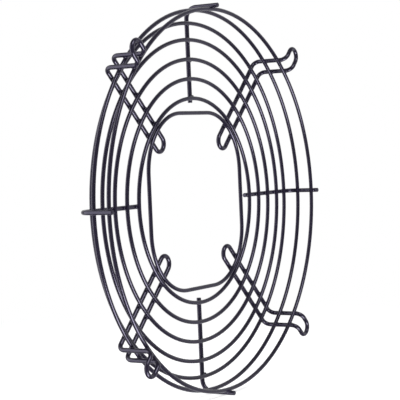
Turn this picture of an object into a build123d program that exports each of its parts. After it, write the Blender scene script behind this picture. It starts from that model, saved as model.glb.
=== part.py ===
from build123d import *
import math
import os

# A welded wire guard for a 250 mm axial fan: a shallow round basket of seven rings, a rounded-square
# frame round the motor opening, four spokes and four hairpin feet. Millimetres, +Z up.
# The fan axis is Y. The mounting plane is Y = 0, and the closed face of the basket lies toward +Y.
# Radii, heights and spacings are to the centre line of the wire unless a name says otherwise.

os.makedirs("parts", exist_ok=True)

# Wire
ring_wire = 3.0  # diameter of the rings and of the centre frame, over the coating
support_wire = 3.4  # diameter of the spokes and of the feet, over the coating
weld_set_down = 0.5  # how far two crossing wires are pressed into one another at a weld

# Rounded-square frame round the motor opening
frame_width = 126.5
frame_height = 131.8
frame_corner_radius = 44.5

# Rings of the flat face, then the rings of the wall
frame_clearance = 0.95  # free gap between the frame's corners and the innermost ring
ring_pitch = 14.6
even_rings = 4  # rings at the even pitch
shoulder_pitch = 12.4  # from the last of those to the outermost ring of the face
wall_step = 8.9  # from there outward to the rings of the wall
face_rise = 8.2  # from the wall ring up to the face
wall_rise = 12.7  # from the rim ring up to the wall ring

# Spokes
spoke_overhang = 3.3  # from the innermost ring to the spoke's inner end
spoke_tail = 4.8  # from the rim ring to the spoke's outer end
spoke_bend_radius = 8.6
spoke_end_round = 0.4  # the coating rounds the edge of a cut end

# Feet, each a closed hairpin
motor_screw_circle = 124.4  # diameter through the centres of the inner U-loops
foot_spacing = 11.8  # between the two parallel runs
foot_reach = 9.8  # from the wall outward to the centre of the outer U-loop
shoulder_bend_radius = 5.0
foot_bend_radius = 5.4
rim_margin = 0.3  # from the end of the feet's outward bends up to the rim ring

# Places of the rings
frame_reach = frame_corner_radius + math.hypot(
    frame_width / 2 - frame_corner_radius, frame_height / 2 - frame_corner_radius
)
inner_ring_radius = frame_reach + ring_wire + frame_clearance
face_radii = [inner_ring_radius + ring_pitch * i for i in range(even_rings)]
face_radii.append(face_radii[-1] + shoulder_pitch)
wall_radius = face_radii[-1] + wall_step
foot_height = support_wire / 2
rim_ring_height = foot_height + foot_bend_radius + rim_margin
wall_ring_height = rim_ring_height + wall_rise
face_height = wall_ring_height + face_rise

# Places of the spokes and feet, which cross over the outside of the rings
cross_offset = (ring_wire + support_wire) / 2 - weld_set_down
support_height = face_height + cross_offset
support_wall_radius = wall_radius + cross_offset


def radial_plane(angle):
    """The plane through the fan axis whose x runs outward at this angle from +X, and whose y is the axis."""
    turn = math.radians(angle)
    return Plane(
        origin=(0, 0, 0),
        x_dir=(math.cos(turn), 0, math.sin(turn)),
        z_dir=(-math.sin(turn), 0, math.cos(turn)),
    )


# Rings, each a wire section turned round the fan axis
ring_places = [(radius, face_height) for radius in face_radii]
ring_places += [(wall_radius, wall_ring_height), (wall_radius, rim_ring_height)]
rings = []
for number, place in enumerate(ring_places, 1):
    with BuildPart() as ring:
        with BuildSketch(Plane.XY):
            with Locations(place):
                Circle(ring_wire / 2)
        revolve(axis=Axis.Y)
    ring.part.label = f"ring_{number}"
    export_step(ring.part, f"parts/ring_{number}.step")
    rings.append(ring.part)

# Rounded-square frame, in the plane of the face rings
with BuildPart() as centre_frame:
    with BuildLine(Plane.XZ.offset(-face_height)) as frame_path:
        FilletPolyline(
            (frame_width / 2, frame_height / 2),
            (frame_width / 2, -frame_height / 2),
            (-frame_width / 2, -frame_height / 2),
            (-frame_width / 2, frame_height / 2),
            radius=frame_corner_radius,
            close=True,
        )
    with BuildSketch(Plane(origin=frame_path.line @ 0, z_dir=frame_path.line % 0)):
        Circle(ring_wire / 2)
    sweep(path=frame_path.line)
centre_frame.part.label = "centre_frame"
export_step(centre_frame.part, "parts/centre_frame.step")

# Spokes: straight across the rings, then bent along the wall, with a weld seat at each ring
for hour in (3, 6, 9, 12):
    with BuildPart() as spoke:
        with BuildLine(radial_plane(90 - 30 * hour)) as spoke_path:
            FilletPolyline(
                (inner_ring_radius - spoke_overhang, support_height),
                (support_wall_radius, support_height),
                (support_wall_radius, rim_ring_height - spoke_tail),
                radius=spoke_bend_radius,
            )
        with BuildSketch(Plane(origin=spoke_path.line @ 0, z_dir=spoke_path.line % 0)):
            Circle(support_wire / 2)
        sweep(path=spoke_path.line)
        cut_ends = spoke.faces().filter_by(GeomType.PLANE)
        fillet(cut_ends.edges(), radius=spoke_end_round)
        for crossed in rings:
            add(crossed, mode=Mode.SUBTRACT)
    spoke.part.label = f"spoke_{hour}"
    export_step(spoke.part, f"parts/spoke_{hour}.step")

# Feet: hairpins closed at both ends, whose two runs lie on either side of a diagonal plane
half_spacing = foot_spacing / 2
motor_loop_radius = motor_screw_circle / 2
run_radius = math.sqrt(support_wall_radius**2 - half_spacing**2)
foot_loop_radius = run_radius + foot_reach
foot_angles = {"upper_right": 45, "upper_left": 135, "lower_left": 225, "lower_right": 315}
for corner, angle in foot_angles.items():
    with BuildPart() as foot:
        with BuildLine(radial_plane(angle)) as foot_path:
            for side in (half_spacing, -half_spacing):
                FilletPolyline(
                    (motor_loop_radius, support_height, side),
                    (run_radius, support_height, side),
                    (run_radius, foot_height, side),
                    (foot_loop_radius, foot_height, side),
                    radius=(shoulder_bend_radius, foot_bend_radius),
                )
            ThreePointArc(
                (motor_loop_radius, support_height, half_spacing),
                (motor_loop_radius - half_spacing, support_height, 0),
                (motor_loop_radius, support_height, -half_spacing),
            )
            ThreePointArc(
                (foot_loop_radius, foot_height, half_spacing),
                (foot_loop_radius + half_spacing, foot_height, 0),
                (foot_loop_radius, foot_height, -half_spacing),
            )
        hairpin = foot_path.wire()
        with BuildSketch(Plane(origin=hairpin @ 0, z_dir=hairpin % 0)):
            Circle(support_wire / 2)
        sweep(path=hairpin)
        for crossed in rings + [centre_frame.part]:
            add(crossed, mode=Mode.SUBTRACT)
    foot.part.label = f"foot_{corner}"
    export_step(foot.part, f"parts/foot_{corner}.step")
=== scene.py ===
# %% [markdown]
# # A welded wire fan guard
# The object is a guard for a 250 mm axial fan: seven round rings, a rounded-square frame, four spokes
# and four hairpin feet, all of drawn steel wire, welded at every crossing and then coated black.
# The CAD model already holds each wire at its true place and at its thickness over the coating. So this
# lesson keeps those wires and gives them what CAD leaves out: the finish of the coating, the small
# fillets that it forms in the corners of the welds, and the light of a plain white studio.

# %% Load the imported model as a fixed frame
import math

import bpy
import numpy as np
from mathutils import Matrix, Vector


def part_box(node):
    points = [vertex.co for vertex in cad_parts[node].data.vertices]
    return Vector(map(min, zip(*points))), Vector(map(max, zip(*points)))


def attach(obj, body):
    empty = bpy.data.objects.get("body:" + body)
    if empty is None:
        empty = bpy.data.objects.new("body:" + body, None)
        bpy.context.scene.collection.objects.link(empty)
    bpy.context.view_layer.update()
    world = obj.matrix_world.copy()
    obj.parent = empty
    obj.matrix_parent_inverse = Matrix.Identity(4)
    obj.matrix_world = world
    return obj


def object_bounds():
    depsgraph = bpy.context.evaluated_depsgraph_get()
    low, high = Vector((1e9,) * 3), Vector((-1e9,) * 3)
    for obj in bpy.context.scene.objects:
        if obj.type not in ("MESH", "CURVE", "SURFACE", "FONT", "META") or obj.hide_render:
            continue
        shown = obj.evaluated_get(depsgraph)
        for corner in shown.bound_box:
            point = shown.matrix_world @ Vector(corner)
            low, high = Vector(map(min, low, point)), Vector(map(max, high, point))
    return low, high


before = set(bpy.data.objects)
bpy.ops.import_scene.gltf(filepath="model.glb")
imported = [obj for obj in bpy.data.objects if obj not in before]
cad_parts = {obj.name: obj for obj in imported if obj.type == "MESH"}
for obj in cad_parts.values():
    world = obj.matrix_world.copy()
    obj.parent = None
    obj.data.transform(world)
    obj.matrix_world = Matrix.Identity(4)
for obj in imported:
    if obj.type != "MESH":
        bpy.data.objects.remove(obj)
cad_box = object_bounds()
mm = 0.001
print("wires in the frame:", ", ".join(sorted(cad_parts)))
print("size in mm:", [round(edge / mm, 1) for edge in cad_box[1] - cad_box[0]])

# %% [markdown]
# ## Two helpers for every material
# Colours are chosen by eye in sRGB, as they look on a screen, but a renderer adds up light in linear
# numbers, so one function turns a hex code into linear red, green and blue. A material is a small
# graph of nodes. One function adds a node, sets its options and its input values, and links it, so
# that each line of a material below reads as one step of the finish.

# %% Colour and node helpers
def linear(hex_code):
    """Linear RGBA of an sRGB hex colour: the dark end is divided by 12.92, the rest is a power of 2.4."""
    shown = np.array([int(hex_code[i:i + 2], 16) / 255 for i in (1, 3, 5)])
    light = np.where(shown <= 0.04045, shown / 12.92, ((shown + 0.055) / 1.055) ** 2.4)
    return (*light.tolist(), 1.0)


def add(tree, kind, options=None, values=None, links=None):
    """Adds a node, sets its options and unlinked inputs, and links inputs to (node, output) pairs."""
    node = tree.nodes.new("ShaderNode" + kind)
    for name, option in (options or {}).items():
        setattr(node, name, option)
    for socket, value in (values or {}).items():
        node.inputs[socket].default_value = value
    for socket, (source, output) in (links or {}).items():
        tree.links.new(source.outputs[output], node.inputs[socket])
    return node


def empty_tree(owner):
    """The node tree of a material or world, cleared of its default nodes."""
    owner.use_nodes = True
    owner.node_tree.nodes.clear()
    return owner.node_tree


print("coating grey #2a2a2a in linear light:", round(linear("#2a2a2a")[0], 4))

# %% [markdown]
# ## Camera
# The photograph was taken from the open side of the guard, from its left and a little above its axis,
# with a long lens, so the far and near sides of a ring look almost the same size. The values below
# come from matching the drawn rings and wires to the photograph, which is surer than moving a camera by
# eye, because a longer lens and a greater distance look so alike. The camera also leans by two and a
# half degrees, which is why the upright spoke doesn't stand quite upright in the picture.

# %% Camera
camera_turn = math.radians(57.434)  # from the fan axis, towards +X
camera_dip = math.radians(2.302)  # of the line of sight, below level
camera_lean = math.radians(-2.530)  # about the line of sight
camera_distance = 1115.6 * mm
camera_beside = 1.922 * mm  # to the right of a line through the middle of the face
camera_above = 0.341 * mm
picture_side = 400  # in pixels
focal_length = 1480.65  # in pixels
sensor_width = 36  # in mm

forward = Vector((
    math.sin(camera_turn) * math.cos(camera_dip),
    math.cos(camera_turn) * math.cos(camera_dip),
    -math.sin(camera_dip),
))
level_right = Vector((math.cos(camera_turn), -math.sin(camera_turn), 0))
level_up = level_right.cross(forward)
right = level_right * math.cos(camera_lean) + level_up * math.sin(camera_lean)
up = right.cross(forward)
face_centre = Vector((0, (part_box("ring_1")[0].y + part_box("ring_1")[1].y) / 2, 0))
place = face_centre - forward * camera_distance + right * camera_beside + up * camera_above

camera = bpy.data.objects.new("camera", bpy.data.cameras.new("camera"))
bpy.context.scene.collection.objects.link(camera)
camera.matrix_world = Matrix.Translation(place) @ Matrix((right, up, -forward)).transposed().to_4x4()
camera.data.sensor_width = sensor_width
camera.data.lens = focal_length * sensor_width / picture_side
camera.data.clip_start = 0.05
camera.data.clip_end = 50
bpy.context.scene.camera = camera
print("camera at", [round(x, 3) for x in place], "with a lens of", round(camera.data.lens, 1), "mm")

# %% [markdown]
# ## Room
# The guard stands on a white paper sweep that pictures pure white. A backdrop could be lit until it
# renders white, but it would then light the wires too. So the world shows a strength of one, which is
# white, to the camera, and a softer white to everything that scatters light. Reflections see something
# else again: white paper beyond the guard, the dim half of the room behind the camera, and the dark
# under the table. That is what leaves the middle of each wire dark and its edges pale, and it makes the
# coating look like a gloss on black. These three levels were read from the wires in the photograph.

# %% World
ambient = 0.24  # on whatever scatters light
dark_side = 0.3  # behind the camera
sweep_side = 0.8  # beyond the guard
sweep_edge = 0.7  # cosine to the line of sight from which on the sweep is at that level
under_table = 0.2  # share of both that is left straight below
table_edge = -0.6  # height of a direction, of 1, at which the dark of the table starts

world = bpy.data.worlds.new("white_studio")
bpy.context.scene.world = world
tree = empty_tree(world)
ray = add(tree, "LightPath")
looking = add(tree, "TexCoord")
towards_sweep = add(tree, "VectorMath", {"operation": "DOT_PRODUCT"}, {1: forward},
                    {0: (looking, "Generated")})
sweep = add(tree, "MapRange", {"interpolation_type": "SMOOTHSTEP"},
            {"From Min": 0.0, "From Max": sweep_edge, "To Min": dark_side, "To Max": sweep_side},
            {"Value": (towards_sweep, "Value")})
height = add(tree, "SeparateXYZ", None, None, {"Vector": (looking, "Generated")})
below = add(tree, "MapRange", {"interpolation_type": "SMOOTHSTEP"},
            {"From Min": -1.0, "From Max": table_edge, "To Min": under_table, "To Max": 1.0},
            {"Value": (height, "Z")})
mirrored = add(tree, "Math", {"operation": "MULTIPLY"}, None,
               {0: (sweep, "Result"), 1: (below, "Result")})
seen = add(tree, "Math", {"operation": "MAXIMUM"}, None,
           {0: (ray, "Is Camera Ray"), 1: (ray, "Is Transmission Ray")})
shown = add(tree, "Math", {"operation": "MAXIMUM"}, None, {0: (seen, "Value"), 1: (mirrored, "Value")})
soft_white = add(tree, "Background", None, {"Color": linear("#ffffff"), "Strength": ambient})
plain_white = add(tree, "Background", None, {"Color": linear("#ffffff")}, {"Strength": (shown, "Value")})
direct = add(tree, "Math", {"operation": "MAXIMUM"}, None,
             {0: (seen, "Value"), 1: (ray, "Is Glossy Ray")})
room = add(tree, "MixShader", None, None,
           {0: (direct, "Value"), 1: (soft_white, "Background"), 2: (plain_white, "Background")})
add(tree, "OutputWorld", None, None, {"Surface": (room, "Shader")})
print("world strength:", ambient, "on the wires, 1.0 in the picture")

# %% [markdown]
# ## One helper for every new mesh
# A new surface is worked out as a whole array of points with a list of faces, and not built with mesh
# tools, because its formula can then be read in the script. One function makes such arrays a smooth
# object. It stays at the origin, with its place in its points, as the objects of the wires do.

# %% Mesh helper
def make_piece(name, points, faces, material):
    """A mesh object at the origin from whole arrays of points in metres and of faces."""
    mesh = bpy.data.meshes.new(name)
    mesh.from_pydata(points.reshape(-1, 3), [], faces)
    mesh.polygons.foreach_set("use_smooth", np.ones(len(mesh.polygons), bool))
    mesh.materials.append(material)
    mesh.update()
    piece = bpy.data.objects.new(name, mesh)
    bpy.context.scene.collection.objects.link(piece)
    print(name, "has", len(mesh.vertices), "points and", len(mesh.polygons), "faces")
    return piece


# %% [markdown]
# ## Floor
# The floor is a white disc under the rim, like paper on a glass table that is lit from below as well.
# It takes the soft shadow of the wires, but the lamp under the table reaches the guard through it, and
# the wires don't mirror it. The camera sees it a little brighter than the lamps above alone would make
# it, so that it comes out white. A plain sheet would end in a grey line far out, so with distance its
# shading gives way to the white of the room.

# %% Floor
floor_height = cad_box[0].z
floor_reach = 8.0
shadow_reach = 0.6  # from the guard's axis to where the paper is as white as the room
whole_shadow = 0.35  # share of that reach on which the shadow keeps its full strength
sweep_glow = 0.6  # light of the table through the paper, where 1 is white
paper_grain = 0.9 * mm  # from one bump of the paper to the next
grain_depth = 0.05 * mm
disc_steps = 96

paper = bpy.data.materials.new("white_paper_sweep")
tree = empty_tree(paper)
place_on_floor = add(tree, "TexCoord")
far = add(tree, "VectorMath", {"operation": "LENGTH"}, None, {0: (place_on_floor, "Object")})
fade = add(tree, "MapRange", {"interpolation_type": "SMOOTHSTEP"},
           {"From Min": whole_shadow * shadow_reach, "From Max": shadow_reach},
           {"Value": (far, "Value")})
ray = add(tree, "LightPath")
fade = add(tree, "Math", {"operation": "MULTIPLY"}, None,
           {0: (fade, "Result"), 1: (ray, "Is Camera Ray")})
grain = add(tree, "TexNoise", None, {"Scale": 1 / paper_grain, "Detail": 2.0},
            {"Vector": (place_on_floor, "Object")})
tooth = add(tree, "Bump", None, {"Strength": 0.4, "Distance": grain_depth}, {"Height": (grain, "Fac")})
sheet = add(tree, "BsdfPrincipled", None,
            {"Base Color": linear("#fafafa"), "Roughness": 0.9, "IOR": 1.45, "Specular IOR Level": 0.0},
            {"Normal": (tooth, "Normal")})
sweep_light = add(tree, "Math", {"operation": "MULTIPLY"}, {1: sweep_glow}, {0: (ray, "Is Camera Ray")})
own_light = add(tree, "Emission", None, {"Color": linear("#ffffff")},
                {"Strength": (sweep_light, "Value")})
lit_sheet = add(tree, "AddShader", None, None, {0: (sheet, "BSDF"), 1: (own_light, "Emission")})
glow = add(tree, "Emission", None, {"Color": linear("#ffffff"), "Strength": 1.0})
surface = add(tree, "MixShader", None, None,
              {0: (fade, "Value"), 1: (lit_sheet, "Shader"), 2: (glow, "Emission")})
add(tree, "OutputMaterial", None, None, {"Surface": (surface, "Shader")})

around = np.linspace(0, 2 * np.pi, disc_steps, endpoint=False)
reach = np.array([0.4, 1.5, floor_reach])
disc = np.stack((np.outer(reach, np.cos(around)), np.outer(reach, np.sin(around)),
                 np.full((len(reach), disc_steps), floor_height)), -1)
points = np.vstack((disc.reshape(-1, 3), [[0, 0, floor_height]]))
step = np.arange(disc_steps)
next_step = np.roll(step, -1)
bands = np.stack((step, step + disc_steps, next_step + disc_steps, next_step), -1)
middle = np.stack((np.full(disc_steps, len(points) - 1), step, next_step), -1)
faces = np.vstack((bands, bands + disc_steps)).tolist() + middle.tolist()
floor = make_piece("paper_floor", points, faces, paper)
floor.visible_glossy = False
floor.visible_shadow = False

# %% [markdown]
# ## Lamps
# A round wire is a curved mirror, so the pale lines on it tell where the lamps stood. Read that way, the
# photograph has three. One is high up behind the camera and gives the upper side of each arc its soft
# grey line. One shines up through the table from in front and puts the line on the underside of the
# diagonal wires and of the hairpins. One stands tall at the left, beyond the guard, and lays the grey
# sheen along the runs that lead back along the wall. The lines are broad and soft, so each lamp is a
# large flat rectangle, a soft box, where a point lamp would draw a thin hard spark.
# A soft box is described by how bright it looks, where white paper is 1, and its power is worked out
# from that: a flat lamp of one square metre that looks like white paper gives pi watts. With the room
# they make a plain level: a matt grey of #808080 on the wires comes out at about #848484.

# %% Lamps
def soft_box(name, place, size, brightness):
    """A rectangular lamp aimed at the guard. Power is pi times its area times its brightness."""
    lamp = bpy.data.lights.new(name, "AREA")
    lamp.shape = "RECTANGLE"
    lamp.size, lamp.size_y = size
    lamp.energy = math.pi * size[0] * size[1] * brightness
    box = bpy.data.objects.new(name, lamp)
    box.location = place
    box.rotation_euler = (-Vector(place)).to_track_quat("-Z", "Y").to_euler()
    box.visible_camera = False
    bpy.context.scene.collection.objects.link(box)
    print(name, "gives", round(lamp.energy, 1), "W")


soft_box("upper_soft_box", place=(-0.42, -1.13, 1.34), size=(1.0, 0.9), brightness=5.6)
soft_box("lower_soft_box", place=(-0.38, -0.84, -1.18), size=(0.85, 1.05), brightness=10.0)
soft_box("left_soft_box", place=(-1.20, 1.40, 0.1), size=(1.3, 3.2), brightness=2.4)

# %% [markdown]
# ## Coating
# The wires carry a black polyester powder coat. The powder is sprayed on dry and melts in an oven, so
# it runs into a smooth, slightly wavy skin, the orange peel of the trade, with a soft gloss and no
# grain. What the eye sees on so thin a wire is a nearly black body with a violet cast, pale edges where
# the coat mirrors the white room at a glancing angle, and a soft break-up of the highlight along it.
# Where the coat is seen face on, its mirror image has a breath of the same violet, which is what the
# specular tint gives. The index of 1.57 is that of an aromatic polyester, the kind that the powder is
# made of. The peel is about 2.5 mm from crest to crest and 0.02 mm deep, near the most that a good coat
# has. The gloss drifts a little over 5 mm, and the violet cast over 14 mm, with the coat's thickness.
# So shallow a peel doesn't change the outline of a wire, and shows only in its highlights, so a bump in
# the material gives it, and the wires' own surfaces stay as they are.

# %% Coating
cast_patch = 14 * mm
gloss_patch = 5 * mm


def polyester_coating(name, peel_crest, peel_depth, least_roughness, most_roughness):
    """Black powder coat: noise for the cast of the colour, for the roughness and for the peel."""
    coat = bpy.data.materials.new(name)
    tree = empty_tree(coat)
    where = add(tree, "TexCoord")
    patches = add(tree, "TexNoise", None, {"Scale": 1 / cast_patch, "Detail": 3.0, "Roughness": 0.6},
                  {"Vector": (where, "Object")})
    colour = add(tree, "ValToRGB", None, None, {"Fac": (patches, "Fac")})
    tones = ((0.3, "#14111e"), (0.7, "#1c1828"))
    for stop, (position, tone) in zip(colour.color_ramp.elements, tones):
        stop.position = position
        stop.color = linear(tone)
    gloss = add(tree, "TexNoise", None, {"Scale": 1 / gloss_patch, "Detail": 2.0},
                {"Vector": (where, "Object")})
    gloss = add(tree, "MapRange", None, {"To Min": least_roughness, "To Max": most_roughness},
                {"Value": (gloss, "Fac")})
    peel = add(tree, "TexNoise", None, {"Scale": 1 / peel_crest, "Detail": 1.5, "Roughness": 0.45},
               {"Vector": (where, "Object")})
    waves = add(tree, "Bump", None, {"Strength": 1.0, "Distance": peel_depth},
                {"Height": (peel, "Fac")})
    skin = add(tree, "BsdfPrincipled", None,
               {"IOR": 1.57, "Metallic": 0.0, "Specular Tint": linear("#e6e0ff")},
               {"Base Color": (colour, "Color"), "Roughness": (gloss, "Result"),
                "Normal": (waves, "Normal")})
    add(tree, "OutputMaterial", None, None, {"Surface": (skin, "BSDF")})
    return coat


wire_coat = polyester_coating("black_polyester_coating", peel_crest=2.5 * mm, peel_depth=0.02 * mm,
                              least_roughness=0.12, most_roughness=0.2)
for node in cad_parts.values():
    node.material_slots[0].material = wire_coat
print("coated:", len(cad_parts), "wires")

# %% [markdown]
# ## Where the wires cross
# Every support wire is welded to every ring that it crosses, and the four hairpins are welded to the
# frame as well. The sizes are read from the frame's boxes, so they can't drift from the CAD model: a
# ring's box gives its wire and its radius, and an upright spoke's box gives the thicker support wire.
# Four sizes show in no box, and are written out: the radius of the square frame's corners, how far a
# hairpin's runs lie apart, and the bends at the shoulder of a spoke and of a hairpin.

# %% Sizes from the frame
ring_boxes = [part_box(f"ring_{number}") for number in range(1, 8)]
ring_half = (ring_boxes[0][1].y - ring_boxes[0][0].y) / 2
ring_radius = np.array([high.x - ring_half for low, high in ring_boxes])
ring_level = np.array([(low.y + high.y) / 2 for low, high in ring_boxes])
face_rings = 5  # the two after them belong to the wall

support_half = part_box("spoke_12")[1].x
support_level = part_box("spoke_12")[1].y - support_half
support_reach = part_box("spoke_3")[1].x - support_half
set_down = ring_half + support_half - (support_level - ring_level[0])

frame_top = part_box("centre_frame")[1]
frame_half = np.array([frame_top.x, frame_top.z]) - ring_half
frame_corner = 44.5 * mm
run_offset = 5.9 * mm  # from a hairpin's middle plane to each of its two runs
spoke_bend = 8.6 * mm
hairpin_bend = 5.0 * mm
print("ring radii in mm:", (ring_radius / mm).round(1))
print("set-down at a weld in mm:", round(set_down / mm, 2))

# %% [markdown]
# ## Distance to the wires
# A weld is easiest to describe by distance. For any point, the distance to a round wire is the
# distance to its centre line less half its thickness. A ring's centre line is a circle, and that of
# the frame is a rounded rectangle. A support's centre line is straight over the face and round a bend
# into the wall, which is one corner of a larger rounded rectangle. So the whole guard needs only
# these two shapes, a circle and a rounded rectangle, and no list of points.

# %% Distance functions
def to_wire(in_plane, off_plane, half_thickness):
    """Distance to a wire: the root of in-plane squared plus off-plane squared, less half the wire."""
    return np.hypot(in_plane, off_plane) - half_thickness


def to_rounded_corner(x, y, reach, level, radius):
    """In-plane distance to the outline of a corner at (reach, level) that is rounded to a radius."""
    over_x = x - (reach - radius)
    over_y = y - (level - radius)
    beyond = np.hypot(np.maximum(over_x, 0), np.maximum(over_y, 0))
    return beyond + np.minimum(np.maximum(over_x, over_y), 0) - radius


def to_rings(points):
    """Distance to the nearest ring, or to the frame: the smallest over the eight closed wires."""
    x, y, z = np.moveaxis(points, -1, 0)
    off_axis = np.hypot(x, z)
    to_each = [to_wire(off_axis - radius, y - level, ring_half)
               for radius, level in zip(ring_radius, ring_level)]
    outline = to_rounded_corner(np.abs(x), np.abs(z), *frame_half, frame_corner)
    to_each.append(to_wire(outline, y - ring_level[0], ring_half))
    return np.min(to_each, axis=0)


def to_support(points, angle, offset, bend):
    """Distance to one run of a spoke or hairpin, at this angle and this far beside its middle plane."""
    x, y, z = np.moveaxis(points, -1, 0)
    outward = x * math.cos(angle) + z * math.sin(angle)
    sideways = z * math.cos(angle) - x * math.sin(angle) - offset
    reach = math.sqrt(support_reach**2 - offset**2)
    return to_wire(to_rounded_corner(outward, y, reach, support_level, bend), sideways, support_half)


probe = np.array([[ring_radius[0], ring_level[0], 0.0]])
print("depth of ring_1's centre line in mm:", round(float(-to_rings(probe)[0]) / mm, 2))

# %% [markdown]
# ## Coating fillets and weld flash
# Where two round wires cross, the press of the welder sinks them a little into each other and squeezes
# out a small bead of steel, the flash. The powder coat then flows into the corners between the wires
# and rounds them. Bare cylinders lack both, which is what makes a CAD crossing look like two pipes
# that only pass. A Boolean join with a Bevel could round the corners, but it would replace the wires,
# which stay as the CAD model has them. So each corner gets a skin of its own.
# Its shape is the smooth union of two distances: the lesser of them, less a lift that starts where they
# differ by 1.3 mm, grows with the square, and is greatest where they are the same.
# Each fillet is a closed skin round its weld. From the weld's middle a fan of rays goes out on a grid
# of latitude and longitude, and halving the interval finds where each ray leaves the metal. Away from
# the corner the skin dives just under the wires, so only the fillet itself shows. It ends 2.7 mm from
# the middle, which is less than the 3.3 mm to a spoke's end, and only at its flash goes on to 3.6 mm.

# %% Crossings
def crossings(angle, offset, over_frame):
    """Middles of the welds of one run, and the outward normals there: face rings, frame, wall rings."""
    along = np.array([math.cos(angle), 0, math.sin(angle)])
    beside = np.array([-math.sin(angle), 0, math.cos(angle)])
    axis = np.array([0, 1.0, 0])
    lift = ring_half - set_down / 2
    face_reach = np.sqrt(ring_radius[:face_rings]**2 - offset**2)
    if over_frame:
        corner = frame_half - frame_corner
        corner_along = abs(math.cos(angle)) * corner[0] + abs(math.sin(angle)) * corner[1]
        corner_beside = (np.sign(math.cos(angle)) * corner[0] * beside[0]
                         + np.sign(math.sin(angle)) * corner[1] * beside[2])
        to_arc = math.sqrt(frame_corner**2 - (offset - corner_beside)**2)
        face_reach = np.append(face_reach, corner_along + to_arc)
    face = np.outer(face_reach, along) + offset * beside + (ring_level[0] + lift) * axis
    wall_out = (math.sqrt(support_reach**2 - offset**2) * along + offset * beside) / support_reach
    wall = (ring_radius[face_rings] + lift) * wall_out + np.outer(ring_level[face_rings:], axis)
    middles = np.vstack((face, wall))
    normals = np.vstack((np.tile(axis, (len(face), 1)), np.tile(wall_out, (len(wall), 1))))
    return middles, normals


spokes = {f"spoke_{hour}": math.radians(90 - 30 * hour) for hour in (3, 6, 9, 12)}
corners = ("upper_right", "upper_left", "lower_left", "lower_right")
feet = {f"foot_{corner}": math.radians(45 + 90 * quarter) for quarter, corner in enumerate(corners)}
print("welds on a spoke:", len(crossings(0, 0, False)[0]))
print("welds on a hairpin:", 2 * len(crossings(math.pi / 4, run_offset, True)[0]))

# %% Fillet surface
fillet_width = 1.3 * mm
flash_width = 0.4 * mm  # the same for the corner between a bead and the wires
skin_dive = 0.05 * mm
fillet_limit = 2.7 * mm
flash_limit = 3.6 * mm
flash_margin = 0.3 * mm  # this far round a bead, its limit holds
halvings = 22  # of the interval, which brings it under a millionth of a millimetre
latitudes = np.radians([0, 22, 40, 54, 65, 73, 79, 84, 88, 92, 96, 101, 107, 115, 126, 140, 158, 180])
longitudes = np.radians(np.arange(0, 360, 8))
not_along = [0.1, 0.2, 0.3]  # keeps the direction across a weld off its normal


def smooth_union(first, second, width):
    """The lesser distance, less the square of (width minus their difference), over four widths."""
    near = np.maximum(width - np.abs(first - second), 0)
    return np.minimum(first, second) - near**2 / (4 * width)


def fillet_skins(middles, normals, beads, bead_sizes, wires):
    """Closed skins where the smooth union of the wires, sunk by the dive, and of the flash is zero."""
    across = np.cross(normals, np.roll(normals, 1, axis=-1) + not_along)
    across /= np.linalg.norm(across, axis=-1, keepdims=True)
    third = np.cross(normals, across)
    lat, lon = np.meshgrid(latitudes, longitudes, indexing="ij")
    rays = (np.cos(lat)[..., None] * normals[:, None, None]
            + (np.sin(lat) * np.cos(lon))[..., None] * across[:, None, None]
            + (np.sin(lat) * np.sin(lon))[..., None] * third[:, None, None])
    near = np.zeros(rays.shape[:3])
    far = np.full(rays.shape[:3], flash_limit)
    for halving in range(halvings):
        half_way = (near + far) / 2
        points = middles[:, None, None] + rays * half_way[..., None]
        metal = smooth_union(to_rings(points), wires(points), fillet_width) + skin_dive
        flash = np.linalg.norm(points - beads[:, None, None], axis=-1) - bead_sizes[:, None, None]
        limit = np.where(flash < flash_margin, flash_limit, fillet_limit)
        inside = (smooth_union(metal, flash, flash_width) < 0) & (half_way < limit)
        near = np.where(inside, half_way, near)
        far = np.where(inside, far, half_way)
    return middles[:, None, None] + rays * near[..., None]


def skin_faces(count):
    """Quads between neighbouring latitudes of each skin, and a fan of triangles at each pole."""
    rows, turns = len(latitudes) - 2, len(longitudes)
    ring = np.arange(turns)
    step = np.roll(ring, -1)
    quads = [np.stack((row * turns + ring, (row + 1) * turns + ring,
                       (row + 1) * turns + step, row * turns + step), -1) for row in range(rows - 1)]
    last = (rows - 1) * turns
    size = rows * turns + 2
    top = np.stack((np.full(turns, size - 2), ring, step), -1)
    bottom = np.stack((np.full(turns, size - 1), last + step, last + ring), -1)
    starts = np.arange(count)[:, None, None] * size
    quads = (np.concatenate(quads)[None] + starts).reshape(-1, 4).tolist()
    fans = (np.concatenate((top, bottom))[None] + starts).reshape(-1, 3).tolist()
    return quads + fans


print("rays round each weld:", len(latitudes) * len(longitudes))

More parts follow.
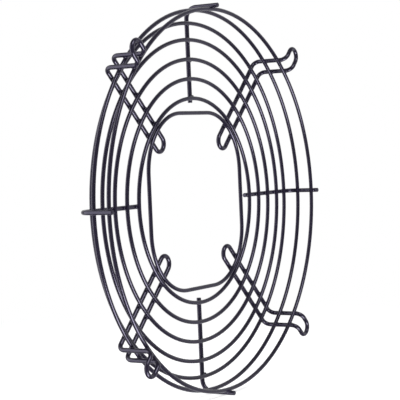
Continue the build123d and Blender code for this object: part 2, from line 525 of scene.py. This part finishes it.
# %% [markdown]
# Most beads of flash are a few tenths of a millimetre and sit where chance puts them. Three are two or
# three times that size and show in the photograph beside the upright spokes, so these are listed one by
# one: the spoke and the weld on it, the direction from the weld's middle, the way out and the radius.

# %% Make the fillets of each support
bead_radius = (0.25, 0.5)  # least and most, in mm
bead_way_out = (1.2, 1.7)  # from a weld's middle, least and most, in mm
large_flash = {
    ("spoke_12", 0): ((1.0, 0.0, 1.0), 2.3 * mm, 0.85 * mm),
    ("spoke_12", 2): ((1.0, 0.0, -1.0), 1.9 * mm, 0.60 * mm),
    ("spoke_6", 4): ((1.2, -0.1, 1.0), 2.4 * mm, 1.00 * mm),
}
chance = np.random.default_rng(7)
fillets = []
for name, angle in {**spokes, **feet}.items():
    is_spoke = name in spokes
    offsets = (0.0,) if is_spoke else (run_offset, -run_offset)
    bend = spoke_bend if is_spoke else hairpin_bend
    middles, normals = (np.vstack(part) for part in zip(
        *(crossings(angle, offset, not is_spoke) for offset in offsets)))

    def wires(points):
        """Distance to the nearest run of this support."""
        return np.min([to_support(points, angle, offset, bend) for offset in offsets], axis=0)

    count = len(middles)
    sideways = np.cross(normals, chance.normal(size=(count, 3)))
    sideways /= np.linalg.norm(sideways, axis=-1, keepdims=True)
    bead_sizes = chance.uniform(*bead_radius, count) * mm
    beads = middles + sideways * chance.uniform(*bead_way_out, (count, 1)) * mm
    for (spoke, weld), (direction, way_out, size) in large_flash.items():
        if spoke == name:
            beads[weld] = middles[weld] + np.array(Vector(direction).normalized()) * way_out
            bead_sizes[weld] = size
    skins = fillet_skins(middles, normals, beads, bead_sizes, wires)
    poles = np.stack((skins[:, 0].mean(axis=1), skins[:, -1].mean(axis=1)), 1)
    points = np.concatenate((skins[:, 1:-1].reshape(count, -1, 3), poles), axis=1)
    piece = make_piece(f"weld_fillets_{name}", points, skin_faces(count), wire_coat)
    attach(piece, "root")
    fillets.append(piece)
print("fillet pieces:", len(fillets))

# %% Finish: the view transform
bpy.context.scene.view_settings.view_transform = "Standard"
